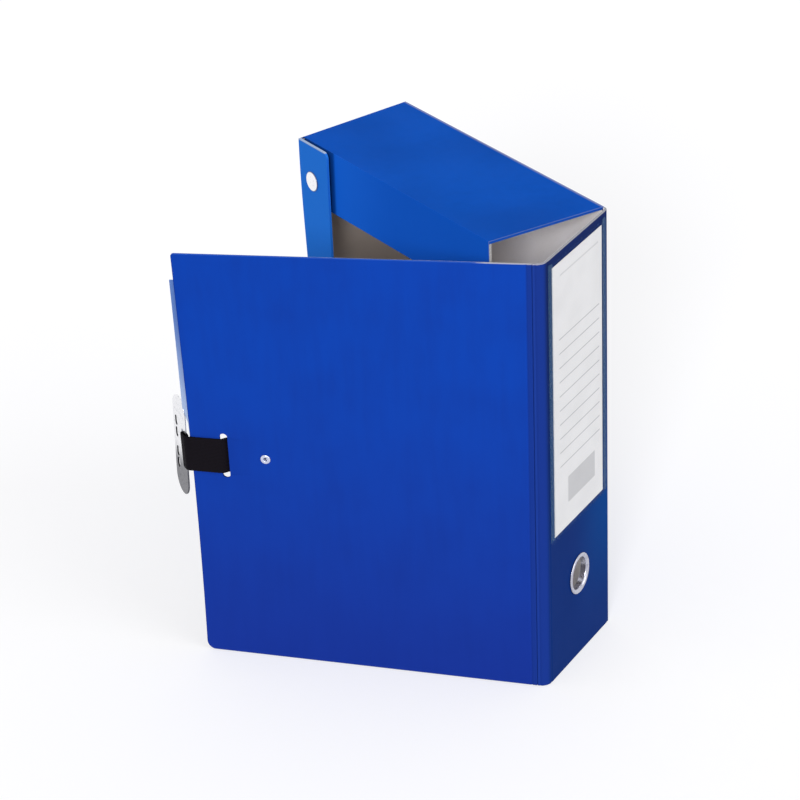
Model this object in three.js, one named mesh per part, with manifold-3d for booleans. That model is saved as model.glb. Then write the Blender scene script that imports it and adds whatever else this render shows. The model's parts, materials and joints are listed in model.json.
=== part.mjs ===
// A document storage box of covered board, standing half open on its bottom edges.
// Millimetres, +Z up. The tray lies along -X from the spine, and its mouth faces -Y.

import * as THREE from 'three';
import { mergeVertices } from 'three/addons/utils/BufferGeometryUtils.js';
import Module from 'manifold-3d';

const wasm = await Module();
wasm.setup();

// Board and running gaps
const boxHeight = 350;
const board = 2;
const gap = 0.3;
const levelStep = 14;

// Tray: back panel, two end walls, fore-edge wall, two flaps and the strip over them
const trayLength = 264;
const trayDepth = 103.5;
const foreEdgeLean = 12.5;
const foreEdgeBow = 9;
const flapDepth = 51;
const flapEndGap = 3;
const stripWidth = 40;
const stripCorner = 5;
const stripBowShare = 0.3;

// Press studs that hold the strip to the flaps
const studFromEnd = 30;
const studFromFold = 18;
const capRadius = 8;
const capHeight = 1.3;
const capShank = 2.2;
const socketRadius = 5.5;
const socketHeight = 1.6;
const ballRadius = 1.7;
const ballHeight = 0.8;
const studBase = 0.6;
const eyeletRadius = 4.6;
const eyeletHeight = 0.7;
const eyeletShank = 1.5;

// Folds of the spine, and how far each stands open
const farFoldRadius = 4;
const farFoldSteps = 8;
const nearFoldRadius = 8;
const nearFoldSteps = 12;
const trayToSpine = 118.4;
const spineToCover = 102.8;
const closedAngle = 90;

// Front cover, with the twist that it has taken and its rounded corners
const coverWidth = 263;
const coverTwist = 7.2;
const twistPower = 1.94;
const coverTopCorner = 2.5;
const coverFootCorner = 7;

// Strip behind the cover's fore-edge, tucked in at its foot and proud above the metal plate
const edgeStripThickness = 1;
const edgeStripWidth = 15;
const edgeStripFromEnd = 24;
const edgeStripTuck = 2;
const edgeStripBesidePlate = 1.2;
const edgeStripOverPlate = 4.5;
const edgeStripTop = 3.5;
const edgeStripPlateGap = 2;
const edgeStripStep = 14;

// Strap, its slot and its rivet
const strapHeight = 30;
const strapThickness = 1.3;
const slotFromForeEdge = 26;
const slotWidth = 6;
const slotHeight = 39;
const rivetFromSlot = 31.5;
const strapPastRivet = 9;
const rivetHead = 3.9;
const rivetHeadHeight = 1;
const rivetShank = 2.2;
const rivetBore = 1.3;
const rivetLip = 0.5;
const rivetLipReach = 0.8;
const washerRadius = 5;
const washerThickness = 0.5;

// Metal plate at the strap's end
const plateHeight = 82;
const plateWidth = 27;
const plateThickness = 1.2;
const plateCorner = 13;
const plateAngle = 54.5;
const plateFromEdge = 4;
const plateSetBack = 0.6;
const plateBar = 4;
const barSlotWidth = 5;
const barSlotHeight = 33;
const smallSlotWidth = 4.6;
const smallSlotHeight = 8;
const smallSlotFromBar = 20;
const smallSlotPitch = 9.8;
const pairPitch = 26;
const slotEndFlat = 0.1;
const strapTail = 0.5;

// Label card in its film pocket on the spine
const pocketFromFarFold = 3.2;
const pocketWidth = 96;
const pocketFoot = 118;
const pocketFromTop = 4;
const pocketRim = 3.2;
const filmThickness = 0.4;
const cardThickness = 0.4;
const cardWidth = 84;
const cardHeight = 220;
const cardLift = 0.5;

// Finger ring low on the spine
const ringHeight = 70;

const ringOuter = 16.3;
const ringBore = 12.5;
const ringBarrel = 1.2;
const ringProud = 1.3;
const ringWasher = 15.7;
const ringWasherThickness = 0.9;
const ringLip = 0.6;
const ringLipReach = 1.6;

// Room left over the strip when the cover is shut
const closingRoom = 2.7;

const half = board / 2;
const middle = boxHeight / 2;
const slotFromFold = coverWidth - slotFromForeEdge;
const rivetFromFold = slotFromFold - rivetFromSlot;
const radians = THREE.MathUtils.degToRad;
const roundSteps = 40;
const smallRoundSteps = 28;

// The strip stands off the flap by the height of the press stud's inner pieces
const studGap = gap + socketHeight + gap + studBase;
const stripOuter = trayDepth + studGap + board;
const farTurn = 180 - trayToSpine;
const nearTurn = 180 - spineToCover;

// The shut cover clears the strip, which sets the flat width of the spine
const closedDepth = stripOuter + closingRoom;
const farFoldDepth = farFoldRadius * Math.cos(radians(closedAngle - farTurn));
const nearFoldDepth = nearFoldRadius * Math.cos(radians(closedAngle - nearTurn));
const spineFlat = closedDepth - farFoldDepth - nearFoldDepth;

const coverStart = half + gap;
const outerFace = half + gap;

const colours = {
  cover: 0x1546ae,
  tray: 0x1550b2,
  edge: 0x6479ab,
  black: 0x161618,
  steel: 0xc4c6ca,
  card: 0xe4e2e2,
  film: 0xdfe6ee,
};

function finish(colour, roughness, metalness = 0) {
  return new THREE.MeshStandardMaterial({ color: colour, roughness, metalness });
}

// Solids

function solid(geometry) {
  const bare = geometry.clone();
  bare.deleteAttribute('normal');
  bare.deleteAttribute('uv');
  const merged = mergeVertices(bare, 1e-5);
  return new wasm.Manifold(new wasm.Mesh({
    numProp: 3,
    vertProperties: new Float32Array(merged.attributes.position.array),
    triVerts: new Uint32Array(merged.index.array),
  }));
}

function geometryOf(body) {
  const mesh = body.getMesh();
  const geometry = new THREE.BufferGeometry();
  geometry.setAttribute('position', new THREE.BufferAttribute(new Float32Array(mesh.vertProperties), 3));
  geometry.setIndex(new THREE.BufferAttribute(new Uint32Array(mesh.triVerts), 1));
  geometry.computeVertexNormals();
  return geometry;
}

function joined(...geometries) {
  return geometryOf(geometries.map(solid).reduce((whole, piece) => whole.add(piece)));
}

function cut(geometry, ...cutters) {
  return geometryOf(cutters.map(solid).reduce((whole, piece) => whole.subtract(piece), solid(geometry)));
}

function block(x0, x1, y0, y1, z0, z1) {
  const geometry = new THREE.BoxGeometry(x1 - x0, y1 - y0, z1 - z0);
  return geometry.translate((x0 + x1) / 2, (y0 + y1) / 2, (z0 + z1) / 2);
}

function upright(outline, z0, z1, steps = 1) {
  const shape = new THREE.Shape(outline.map(([x, y]) => new THREE.Vector2(x, y)));
  const geometry = new THREE.ExtrudeGeometry(shape, { depth: z1 - z0, bevelEnabled: false, steps });
  return geometry.translate(0, 0, z0);
}

// Moves each vertex by a rule
function reshaped(geometry, rule) {
  const position = geometry.attributes.position;
  for (let i = 0; i < position.count; i += 1) {
    const [x, y, z] = rule(position.getX(i), position.getY(i), position.getZ(i));
    position.setXYZ(i, x, y, z);
  }
  return geometry;
}

// A six-sided panel whose section may change with height.
// place(a, b, z) gives a corner; a and b are 0 or 1.
function panel(levels, place) {
  const last = levels.length - 1;
  const geometry = new THREE.BoxGeometry(1, 1, 1, 1, 1, last);
  return reshaped(geometry, (x, y, z) => place(x + 0.5, y + 0.5, levels[Math.round((z + 0.5) * last)]));
}

// Even heights, with extra ones where the corners are rounded
function heights(z0, z1, footRadius = 0, topRadius = 0) {
  const levels = [];
  const cornerSteps = 6;
  for (let i = 0; i < cornerSteps && footRadius > 0; i += 1) {
    levels.push(z0 + footRadius * (1 - Math.cos(radians(90 * i / cornerSteps))));
  }
  const low = z0 + footRadius;
  const high = z1 - topRadius;
  const count = Math.max(1, Math.ceil((high - low) / levelStep));
  for (let i = 0; i <= count; i += 1) levels.push(low + (high - low) * i / count);
  for (let i = 1; i <= cornerSteps && topRadius > 0; i += 1) {
    levels.push(high + topRadius * Math.sin(radians(90 * i / cornerSteps)));
  }
  return levels;
}

// How far a rounded corner pulls an edge in, at a distance from the panel's end
function cornerInset(fromEnd, radius) {
  const into = Math.max(0, radius - fromEnd);
  return radius - Math.sqrt(Math.max(0, radius * radius - into * into));
}

// A turned piece whose axis points along +Y; profile points are [radius, place along the axis]
function turned(profile, steps = smallRoundSteps) {
  const points = profile.map(([r, along]) => new THREE.Vector2(r, along));
  return new THREE.LatheGeometry(points, steps);
}

// An upright slot or plate outline with round ends, in (across, up), made as a solid along the thickness
function rounded(across, up, width, height, radius, from, to) {
  const shape = new THREE.Shape();
  const x0 = across - width / 2;
  const x1 = across + width / 2;
  const z0 = up - height / 2;
  const z1 = up + height / 2;
  shape.moveTo(x0 + radius, z0);
  shape.lineTo(x1 - radius, z0);
  shape.absarc(x1 - radius, z0 + radius, radius, -Math.PI / 2, 0);
  shape.lineTo(x1, z1 - radius);
  shape.absarc(x1 - radius, z1 - radius, radius, 0, Math.PI / 2);
  shape.lineTo(x0 + radius, z1);
  shape.absarc(x0 + radius, z1 - radius, radius, Math.PI / 2, Math.PI);
  shape.lineTo(x0, z0 + radius);
  shape.absarc(x0 + radius, z0 + radius, radius, Math.PI, 1.5 * Math.PI);
  const settings = { depth: to - from, bevelEnabled: false, curveSegments: 8 };
  const geometry = new THREE.ExtrudeGeometry(shape, settings);
  return geometry.rotateX(Math.PI / 2).translate(0, to, 0);
}

// Both sides of a band of even thickness along a line of points, as one closed outline
function band(points, thickness) {
  const left = [];
  const right = [];
  for (let i = 0; i < points.length; i += 1) {
    const here = new THREE.Vector2(...points[i]);
    const before = new THREE.Vector2(...points[Math.max(0, i - 1)]);
    const after = new THREE.Vector2(...points[Math.min(points.length - 1, i + 1)]);
    const comes = i > 0 ? here.clone().sub(before).normalize() : after.clone().sub(here).normalize();
    const goes = i < points.length - 1 ? after.clone().sub(here).normalize() : comes;
    const along = comes.clone().add(goes).normalize();
    const reach = thickness / 2 / along.dot(comes);
    left.push([here.x - along.y * reach, here.y + along.x * reach]);
    right.push([here.x + along.y * reach, here.y - along.x * reach]);
  }
  return [...right, ...left.reverse()];
}

// Tray: one folded sheet of board

const wallEnd = -coverStart;
const studHeights = { top: boxHeight - studFromEnd, bottom: studFromEnd };

function foreEdgeIn(share, z) {
  return share * (foreEdgeLean + foreEdgeBow * Math.sin(Math.PI * z / boxHeight) ** 2);
}

const stripFoldX = -trayLength + foreEdgeLean;
const studX = stripFoldX + studFromFold;

function trayGeometry() {
  const back = block(-trayLength, wallEnd, -board, 0, 0, boxHeight);
  const wallOutline = [
    [wallEnd, 0],
    [-trayLength, 0],
    [-trayLength + foreEdgeIn(trayDepth / stripOuter, 0), -trayDepth],
    [wallEnd, -trayDepth],
  ];
  const foot = upright(wallOutline, 0, board);
  const top = upright(wallOutline, boxHeight - board, boxHeight);
  const flapEnd = stripFoldX + board + flapEndGap + foreEdgeBow / 2;
  const flapBack = -trayDepth + board;
  const footFlap = block(flapEnd, wallEnd, -trayDepth, flapBack, 0, flapDepth);
  const topFlap = block(flapEnd, wallEnd, -trayDepth, flapBack, boxHeight - flapDepth, boxHeight);
  const foreEdge = panel(heights(0, boxHeight), (a, b, z) => {
    const share = 1 - b;
    const outer = -trayLength + foreEdgeIn(share, z);
    return [outer + a * board, -share * stripOuter, z];
  });
  const strip = panel(heights(0, boxHeight, stripCorner, stripCorner), (a, b, z) => {
    const outer = -trayLength + foreEdgeIn(1, z);
    const bow = foreEdgeIn(1, z) - foreEdgeLean;
    const inset = cornerInset(Math.min(z, boxHeight - z), stripCorner);
    const inner = stripFoldX + stripWidth + bow * stripBowShare - inset;
    return [a > 0 ? inner : outer, -stripOuter + b * board, z];
  });
  const whole = joined(back, foot, top, footFlap, topFlap, foreEdge, strip);
  const holes = Object.values(studHeights).flatMap((z) => [
    studHole(z, capShank + gap, -stripOuter, board),
    studHole(z, eyeletShank + gap, -trayDepth, board),
  ]);
  return cut(whole, ...holes);
}

function studHole(z, radius, front, depth) {
  const clear = 0.1;
  const drill = new THREE.CylinderGeometry(radius, radius, depth + 2 * clear, smallRoundSteps);
  return drill.translate(studX, front + depth / 2, z);
}

// Press stud pieces are turned about an axis that points out of the strip, along -Y
function studPiece(name, profile, front, z) {
  const piece = new THREE.Mesh(turned(profile), finish(colours.steel, 0.3, 0.9));
  piece.name = name;
  piece.rotation.x = Math.PI;
  piece.position.set(studX, front, z);
  return piece;
}

// Heights in each profile are measured outwards from the strip's or the flap's outer face
function pressStud(end) {
  const z = studHeights[end];
  const capReach = -board - studGap + gap + studBase + ballHeight + gap;
  const cap = [
    [0, capReach],
    [capShank, capReach],
    [capShank, gap],
    [capRadius - 0.5, gap],
    [capRadius, gap + 0.35 * capHeight],
    [capRadius * 0.93, gap + 0.65 * capHeight],
    [capRadius * 0.6, gap + 0.93 * capHeight],
    [0, gap + capHeight],
  ];
  const socketTop = -board - gap;
  const socketFoot = socketTop - socketHeight;
  const socket = [
    [capShank + gap, socketFoot],
    [socketRadius - 0.4, socketFoot],
    [socketRadius, socketFoot + 0.4],
    [socketRadius, socketTop],
    [capShank + gap, socketTop],
    [capShank + gap, socketFoot],
  ];
  const ball = [
    [eyeletShank + gap / 2, gap],
    [socketRadius, gap],
    [socketRadius, gap + studBase * 0.5],
    [socketRadius - 0.3, gap + studBase * 0.5 + 0.15],
    [ballRadius + 0.3, gap + studBase * 0.5 + 0.15],
    [ballRadius + 0.3, gap + studBase + ballHeight - 0.3],
    [ballRadius, gap + studBase + ballHeight],
    [eyeletShank + gap / 2, gap + studBase + ballHeight],
    [eyeletShank + gap / 2, gap],
  ];
  const inside = -board - gap;
  const eyelet = [
    [0, inside - eyeletHeight],
    [eyeletRadius - 0.3, inside - eyeletHeight],
    [eyeletRadius, inside - eyeletHeight * 0.5],
    [eyeletRadius, inside],
    [eyeletShank, inside],
    [eyeletShank, gap + studBase],
    [0, gap + studBase],
  ];
  return [
    studPiece(`${end}_stud_cap`, cap, -stripOuter, z),
    studPiece(`${end}_stud_socket`, socket, -stripOuter, z),
    studPiece(`${end}_stud_ball`, ball, -trayDepth, z),
    studPiece(`${end}_stud_eyelet`, eyelet, -trayDepth, z),
  ];
}

// Spine: one panel with both of its rounded folds, and a round nose on each fold's crease

// Points of a line that starts at the tray's crease, heading along +X, and turns towards the mouth
function spineLine() {
  const points = [new THREE.Vector2(0, 0)];
  let heading = 0;
  const walk = (length) => {
    const last = points[points.length - 1];
    points.push(new THREE.Vector2(last.x + length * Math.cos(heading), last.y + length * Math.sin(heading)));
  };
  const turn = (radius, angle, steps) => {
    const step = radians(angle) / steps;
    for (let i = 0; i < steps; i += 1) {
      heading -= step / 2;
      walk(2 * radius * Math.sin(step / 2));
      heading -= step / 2;
    }
  };
  turn(farFoldRadius, farTurn, farFoldSteps);
  walk(spineFlat);
  turn(nearFoldRadius, nearTurn, nearFoldSteps);
  return points;
}

const crease = new THREE.Vector2(0, -half);
const spinePoints = spineLine().map((point) => point.add(crease));
const coverCrease = spinePoints[spinePoints.length - 1];
const spineHeading = -farTurn;
const coverHeading = spineHeading - nearTurn;
const flatStart = spinePoints[farFoldSteps];

function spineGeometry() {
  const body = upright(band(spinePoints.map((point) => [point.x, point.y]), board), 0, boxHeight);
  const noses = [crease, coverCrease].map((at) => {
    const nose = new THREE.CylinderGeometry(half, half, boxHeight, 16);
    return nose.rotateX(Math.PI / 2).translate(at.x, at.y, middle);
  });
  const [x, y] = onSpine(ringAlong, 0);
  const room = ringBore + ringBarrel + gap;
  const drill = new THREE.CylinderGeometry(room, room, 4 * board, roundSteps);
  drill.rotateZ(radians(spineHeading)).translate(x, y, ringHeight);
  return cut(joined(body, ...noses), drill);
}

// A place on the flat of the spine: how far from the far fold, and how far out of the panel's middle
function onSpine(along, out) {
  const heading = radians(spineHeading);
  return [
    flatStart.x + along * Math.cos(heading) - out * Math.sin(heading),
    flatStart.y + along * Math.sin(heading) + out * Math.cos(heading),
  ];
}

const pocketMiddle = pocketFromFarFold + pocketWidth / 2;
const ringAlong = pocketMiddle;

// The spine's own group: +X along the panel from the far fold, +Y out of its face
function onSpineGroup(...pieces) {
  const group = new THREE.Group();
  group.position.set(flatStart.x, flatStart.y, 0);
  group.rotation.z = radians(spineHeading);
  group.add(...pieces);
  return group;
}

const cardBack = outerFace;
const cardFront = cardBack + cardThickness;
const filmBack = cardFront + gap;
const filmFront = filmBack + filmThickness;
const pocketTop = boxHeight - pocketFromTop;

function pocketGeometry() {
  const x0 = pocketFromFarFold;
  const x1 = pocketFromFarFold + pocketWidth;
  const sheet = block(x0, x1, outerFace, filmFront, pocketFoot, pocketTop);
  const past = 1;
  const room = block(
    x0 + pocketRim, x1 - pocketRim, outerFace - past, filmBack, pocketFoot + pocketRim, pocketTop + past,
  );
  return cut(sheet, room);
}

function cardGeometry() {
  const foot = pocketFoot + pocketRim + cardLift;
  const x0 = pocketMiddle - cardWidth / 2;
  return block(x0, x0 + cardWidth, cardBack, cardFront, foot, foot + cardHeight);
}

// The ring's barrel passes the panel and its lip is rolled over the washer inside
function ringProfile() {
  const barrel = ringBore + ringBarrel;
  const washerBack = -half - gap - ringWasherThickness;
  const lipFront = washerBack - gap;
  return [
    [ringBore, lipFront - ringLip],
    [barrel + ringLipReach, lipFront - ringLip],
    [barrel + ringLipReach, lipFront],
    [barrel, lipFront],
    [barrel, outerFace],
    [ringOuter, outerFace],
    [ringOuter, outerFace + 0.4 * ringProud],
    [ringOuter - 0.7, outerFace + 0.8 * ringProud],
    [(ringOuter + ringBore) / 2 + 0.3, outerFace + ringProud],
    [ringBore + 0.9, outerFace + 0.85 * ringProud],
    [ringBore + 0.3, outerFace + 0.3 * ringProud],
    [ringBore, outerFace - 0.3 * ringProud],
    [ringBore, lipFront - ringLip],
  ];
}

function washerProfile(inner, outer, front, thickness) {
  return [
    [inner, front - thickness],
    [outer - 0.2, front - thickness],
    [outer, front - thickness * 0.6],
    [outer, front],
    [inner, front],
    [inner, front - thickness],
  ];
}

// Front cover: u runs from the near crease to the fore-edge, v out of the cover's face, z up

function twisted(geometry) {
  return reshaped(geometry, (u, v, z) => {
    const angle = radians(coverTwist) * Math.max(0, z / boxHeight) ** twistPower;
    return [u * Math.cos(angle) - v * Math.sin(angle), u * Math.sin(angle) + v * Math.cos(angle), z];
  });
}

function coverGeometry() {
  const sheet = panel(heights(0, boxHeight, coverFootCorner, coverTopCorner), (a, b, z) => {
    const inset = cornerInset(z, coverFootCorner) + cornerInset(boxHeight - z, coverTopCorner);
    return [a > 0 ? coverWidth - inset : coverStart, (b - 0.5) * board, z];
  });
  const endRound = slotWidth / 2 - slotEndFlat;
  const slot = rounded(slotFromFold, middle, slotWidth, slotHeight, endRound, -board, board);
  const hole = new THREE.CylinderGeometry(rivetShank + gap, rivetShank + gap, 2 * board, smallRoundSteps);
  hole.translate(rivetFromFold, 0, middle);
  return cut(twisted(sheet), twisted(slot), twisted(hole));
}

function edgeStripGeometry() {
  const z0 = edgeStripFromEnd;
  const z1 = boxHeight - edgeStripFromEnd;
  const overPlate = middle + plateHeight / 2 - edgeStripPlateGap;
  const besidePlate = overPlate - edgeStripStep;
  const knots = [
    [z0, -edgeStripTuck],
    [besidePlate, edgeStripBesidePlate],
    [overPlate, edgeStripOverPlate],
    [z1, edgeStripTop],
  ];
  const proudAt = (z) => {
    const next = knots.findIndex(([height], i) => i > 0 && z <= height + 1e-6);
    const [low, from] = knots[next - 1];
    const [high, to] = knots[next];
    return from + (to - from) * (z - low) / (high - low);
  };
  const levels = knots.slice(1).flatMap(([high], i) => heights(knots[i][0], high).slice(0, -1));
  const back = -outerFace - edgeStripThickness;
  return twisted(panel([...levels, z1], (a, b, z) => {
    const fore = coverWidth + proudAt(z);
    return [a > 0 ? fore : coverWidth - edgeStripWidth, back + b * edgeStripThickness, z];
  }));
}

// The plate's own line: it starts past the fore-edge and is turned back behind the cover
const plateTurn = radians(-plateAngle);
const plateStart = new THREE.Vector2(coverWidth + plateFromEdge, -plateSetBack);

function onPlate(along, out) {
  const reach = new THREE.Vector2(along, out).rotateAround(new THREE.Vector2(0, 0), plateTurn);
  return reach.add(plateStart);
}

// The strap is riveted inside and comes out through the slot.
// It then passes the fore-edge and loops round the plate's bar.
function strapGeometry() {
  const run = outerFace + strapThickness / 2;
  const plateRun = plateThickness / 2 + gap + strapThickness / 2;
  const overPlate = onPlate(0, plateRun);
  const toBend = (run - overPlate.y) / Math.tan(radians(plateAngle));
  const loopAt = plateBar + barSlotWidth / 2;
  const line = [
    [rivetFromFold - strapPastRivet, -run],
    [slotFromFold - run, -run],
    [slotFromFold + run, run],
    [overPlate.x - toBend, run],
    [...onPlate(loopAt, plateRun)],
    [...onPlate(loopAt, -plateRun)],
    [...onPlate(-strapTail, -plateRun)],
  ];
  const low = middle - strapHeight / 2;
  const strap = upright(band(line, strapThickness), low, low + strapHeight, 4);
  const room = rivetShank + gap;
  const hole = new THREE.CylinderGeometry(room, room, 2 * strapThickness, smallRoundSteps);
  hole.translate(rivetFromFold, -run, middle);
  return cut(twisted(strap), twisted(hole));
}

function plateGeometry() {
  const width = plateWidth;
  const face = plateThickness / 2;
  const plate = rounded(width / 2, middle, width, plateHeight, plateCorner, -face, face);
  const through = 2 * plateThickness;
  const barSlotAt = plateBar + barSlotWidth / 2;
  const punch = (across, up, slotAcross, slotUp) => {
    const endRound = slotAcross / 2 - slotEndFlat;
    return rounded(across, up, slotAcross, slotUp, endRound, -through, through);
  };
  const slots = [punch(barSlotAt, middle, barSlotWidth, barSlotHeight)];
  for (const pair of [-pairPitch / 2, pairPitch / 2]) {
    for (const step of [-smallSlotPitch / 2, smallSlotPitch / 2]) {
      slots.push(punch(smallSlotFromBar, middle + pair + step, smallSlotWidth, smallSlotHeight));
    }
  }
  const pressed = cut(plate, ...slots);
  return twisted(reshaped(pressed, (along, out, z) => [...onPlate(along, out), z]));
}

// Tubular rivet: its head on the cover's face, its lip rolled over the washer inside
const rivetWasherFront = -outerFace - strapThickness - gap;

function rivetProfile() {
  const lipFront = rivetWasherFront - washerThickness - gap / 2;
  return [
    [rivetBore, lipFront - rivetLip],
    [rivetShank + rivetLipReach, lipFront - rivetLip],
    [rivetShank + rivetLipReach, lipFront],
    [rivetShank, lipFront],
    [rivetShank, outerFace],
    [rivetHead, outerFace],
    [rivetHead, outerFace + 0.4 * rivetHeadHeight],
    [rivetHead - 0.6, outerFace + 0.85 * rivetHeadHeight],
    [(rivetHead + rivetBore) / 2, outerFace + rivetHeadHeight],
    [rivetBore + 0.4, outerFace + 0.8 * rivetHeadHeight],
    [rivetBore, outerFace + 0.2 * rivetHeadHeight],
    [rivetBore, lipFront - rivetLip],
  ];
}

function mesh(name, geometry, material) {
  const piece = new THREE.Mesh(geometry, material);
  piece.name = name;
  return piece;
}

const coveredBoard = finish(colours.cover, 0.55);
const steel = finish(colours.steel, 0.28, 0.9);

const tray = mesh('back_tray', trayGeometry(), finish(colours.tray, 0.6));
const spine = mesh('spine_panel', spineGeometry(), coveredBoard.clone());

const ring = mesh('finger_ring', turned(ringProfile(), roundSteps), steel.clone());
const ringBack = mesh(
  'finger_ring_washer',
  turned(washerProfile(ringBore + ringBarrel + gap, ringWasher, -outerFace, ringWasherThickness), roundSteps),
  steel.clone(),
);
for (const piece of [ring, ringBack]) piece.position.set(ringAlong, 0, ringHeight);

const onTheSpine = onSpineGroup(
  mesh('label_pocket', pocketGeometry(), finish(colours.film, 0.15)),
  mesh('label_card', cardGeometry(), finish(colours.card, 0.7)),
  ring,
  ringBack,
);

const coverGroup = new THREE.Group();
coverGroup.position.set(coverCrease.x, coverCrease.y, 0);
coverGroup.rotation.z = radians(coverHeading);
coverGroup.add(
  mesh('front_cover', coverGeometry(), coveredBoard.clone()),
  mesh('cover_edge_strip', edgeStripGeometry(), finish(colours.edge, 0.5)),
  mesh('strap', strapGeometry(), finish(colours.black, 0.85)),
  mesh('strap_plate', plateGeometry(), steel.clone()),
  mesh('strap_rivet', twisted(turned(rivetProfile()).translate(rivetFromFold, 0, middle)), steel.clone()),
  mesh(
    'strap_rivet_washer',
    twisted(turned(washerProfile(rivetShank + gap, washerRadius, rivetWasherFront, washerThickness))
      .translate(rivetFromFold, 0, middle)),
    steel.clone(),
  ),
);

const storageBox = new THREE.Group();
storageBox.add(tray, ...pressStud('top'), ...pressStud('bottom'), spine, onTheSpine, coverGroup);

// The origin is the middle of the whole box's footprint, on the surface that it stands on
const extent = new THREE.Box3().setFromObject(storageBox, true);
const centre = extent.getCenter(new THREE.Vector3());
storageBox.position.set(-centre.x, -centre.y, -extent.min.z);
storageBox.updateMatrixWorld(true);

export default storageBox;
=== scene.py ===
import json
import math
import bpy
import bmesh
from mathutils import Matrix, Vector


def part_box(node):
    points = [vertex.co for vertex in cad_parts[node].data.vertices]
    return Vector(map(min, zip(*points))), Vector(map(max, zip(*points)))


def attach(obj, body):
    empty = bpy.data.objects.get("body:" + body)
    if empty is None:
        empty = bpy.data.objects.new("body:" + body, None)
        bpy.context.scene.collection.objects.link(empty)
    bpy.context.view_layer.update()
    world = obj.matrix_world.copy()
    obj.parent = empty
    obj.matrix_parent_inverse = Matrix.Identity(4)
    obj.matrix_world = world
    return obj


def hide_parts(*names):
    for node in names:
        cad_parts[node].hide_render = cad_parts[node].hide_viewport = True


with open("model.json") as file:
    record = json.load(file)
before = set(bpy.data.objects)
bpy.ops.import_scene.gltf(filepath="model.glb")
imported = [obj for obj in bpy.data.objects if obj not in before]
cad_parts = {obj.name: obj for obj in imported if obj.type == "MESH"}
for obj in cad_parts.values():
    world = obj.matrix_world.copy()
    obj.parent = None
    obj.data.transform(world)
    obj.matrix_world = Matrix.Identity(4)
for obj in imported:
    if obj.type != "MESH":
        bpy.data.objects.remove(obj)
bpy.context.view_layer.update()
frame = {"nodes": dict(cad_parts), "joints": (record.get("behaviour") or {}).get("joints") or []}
scene = bpy.context.scene
scene.view_settings.view_transform = "Standard"

# Studio. The camera stands well back with a long lens, a little above the box, as in the
# photograph. A broad lamp from the front left and a weaker one from the right light the box.
sensor_width = 36
focal_length = 154.49
camera_distance = 2.6425
camera_azimuth = -0.997138
camera_elevation = 0.467325
camera_roll = -0.033927
aim_from_fold = Vector((-0.121068, -0.10611, 0.175))

places = {joint["name"]: Vector(joint["pos_m"]) * 1000 for joint in frame["joints"]}
aim = places["spine_fold"] * 0.001 + aim_from_fold
ahead = Vector((
    math.sin(camera_azimuth) * math.cos(camera_elevation),
    math.cos(camera_azimuth) * math.cos(camera_elevation),
    -math.sin(camera_elevation),
))
level = Vector((math.cos(camera_azimuth), -math.sin(camera_azimuth), 0))
above = level.cross(ahead)
right = math.cos(camera_roll) * level + math.sin(camera_roll) * above
upward = math.cos(camera_roll) * above - math.sin(camera_roll) * level

lens = bpy.data.cameras.new("camera")
lens.lens = focal_length
lens.sensor_width = sensor_width
lens.clip_end = 50
camera = bpy.data.objects.new("camera", lens)
scene.collection.objects.link(camera)
camera.matrix_world = (
    Matrix.Translation(aim - ahead * camera_distance)
    @ Matrix((right, upward, -ahead)).transposed().to_4x4()
)
scene.camera = camera


def broad_lamp(name, bearing, height, strength, spread):
    """A distant lamp: bearing and height in degrees say where its light comes from."""
    light = bpy.data.lights.new(name, "SUN")
    light.energy = strength
    light.angle = math.radians(spread)
    lamp = bpy.data.objects.new(name, light)
    scene.collection.objects.link(lamp)
    across = math.cos(math.radians(height))
    source = Vector((
        across * math.cos(math.radians(bearing)),
        across * math.sin(math.radians(bearing)),
        math.sin(math.radians(height)),
    ))
    lamp.rotation_euler = source.to_track_quat("Z", "Y").to_euler()


broad_lamp("front_left_lamp", bearing=-43, height=23, strength=1.4, spread=12)
broad_lamp("right_lamp", bearing=25, height=30, strength=0.8, spread=50)


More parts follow.
